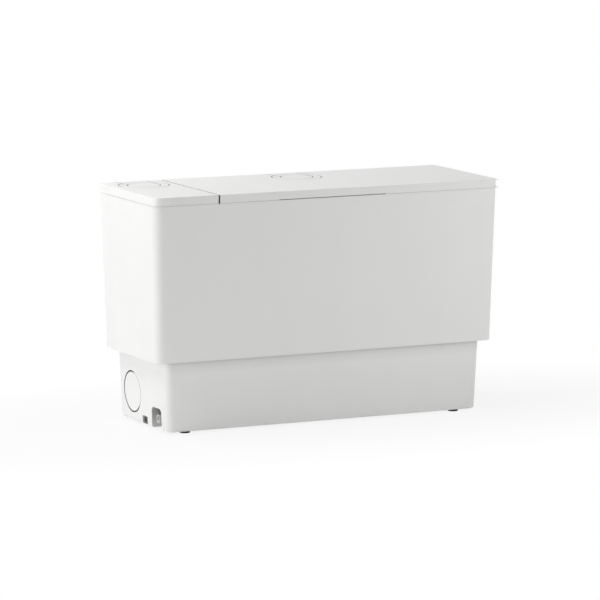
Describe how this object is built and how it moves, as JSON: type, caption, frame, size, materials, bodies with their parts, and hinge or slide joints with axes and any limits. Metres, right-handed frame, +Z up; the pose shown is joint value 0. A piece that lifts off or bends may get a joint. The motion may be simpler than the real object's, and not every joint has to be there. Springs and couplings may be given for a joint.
{
  "type": "sewage pump",
  "caption": "Slim box-shaped sewage lifting unit: drafted tank, overhanging housing, two lift-off covers, cutter and pump inside.",
  "frame": {"origin": "middle of the footprint on the floor, at the underside of the feet", "axes": "+X along the long side to the end away from the drain recess, +Y to the back with the toilet inlet, +Z up"},
  "size_m": [0.5, 0.187, 0.3125],
  "materials": {
    "white_shell": "white satin moulded plastic",
    "black_rubber": "black moulded rubber",
    "grey_plastic": "grey moulded plastic",
    "dark_plastic": "black moulded plastic",
    "light_plastic": "pale grey moulded plastic",
    "steel": "stainless steel",
    "can_metal": "bare aluminium",
    "stack_iron": "laminated iron",
    "copper": "varnished copper wire",
    "screw_steel": "zinc-plated steel"
  },
  "bodies": {
    "unit": {"tank": "white_shell", "housing": "white_shell", "side_inlet_plug": "white_shell", "foot_front_left": "black_rubber", "foot_back_left": "black_rubber", "foot_front_right": "black_rubber", "foot_back_right": "black_rubber", "cable_gland": "black_rubber", "deck_gasket": "black_rubber", "inlet_sleeve": "black_rubber", "riser_seal": "black_rubber", "pipe_coupling": "black_rubber", "pressure_hose": "black_rubber", "inlet_chamber": "grey_plastic", "pump_volute": "grey_plastic", "volute_cover": "grey_plastic", "valve_body": "grey_plastic", "capacitor_holder": "grey_plastic", "control_box": "dark_plastic", "control_lid": "dark_plastic", "switch_body": "dark_plastic", "vent_filter": "dark_plastic", "tank_deck": "light_plastic", "cutter_basket": "light_plastic", "discharge_pipe": "light_plastic", "discharge_spigot": "light_plastic", "vent_pipe": "light_plastic", "pressure_bell": "light_plastic", "drain_spigot": "light_plastic", "upper_bearing": "steel", "lower_bearing": "steel", "valve_pin": "steel", "valve_clamp": "steel", "motor_can": "can_metal", "motor_cap": "can_metal", "motor_plate": "can_metal", "capacitor": "can_metal", "stator_core": "stack_iron", "shaft_seal": "stack_iron", "stator_windings": "copper", "housing_screws": "screw_steel", "motor_screws": "screw_steel", "control_screws": "screw_steel"},
    "lid_left": {"cover_left": "white_shell"},
    "lid_right": {"cover_right": "white_shell"},
    "rotor": {"rotor_shaft": "steel", "rotor_core": "stack_iron", "macerator_blade": "steel", "impeller": "grey_plastic"},
    "flap": {"valve_flap": "black_rubber"},
    "plunger": {"switch_plunger": "dark_plastic"}
  },
  "joints": [
    {"name": "lid_left_lift", "type": "slide", "parent": "unit", "child": "lid_left", "axis": [0, 0, 1], "range_m": [0, 0.1]},
    {"name": "lid_right_lift", "type": "slide", "parent": "unit", "child": "lid_right", "axis": [0, 0, 1], "range_m": [0, 0.1]},
    {"name": "rotor_spin", "type": "hinge", "parent": "unit", "child": "rotor", "pos_m": [0.066, 0, 0.15], "axis": [0, 0, 1], "continuous": true},
    {"name": "flap_swing", "type": "hinge", "parent": "unit", "child": "flap", "pos_m": [-0.203, 0.06585, 0.1243], "axis": [-1, 0, 0], "range_deg": [0, 65]},
    {"name": "plunger_push", "type": "slide", "parent": "unit", "child": "plunger", "axis": [-1, 0, 0], "range_m": [0, 0.0015], "stiffness_N_per_m": 600}
  ]
}
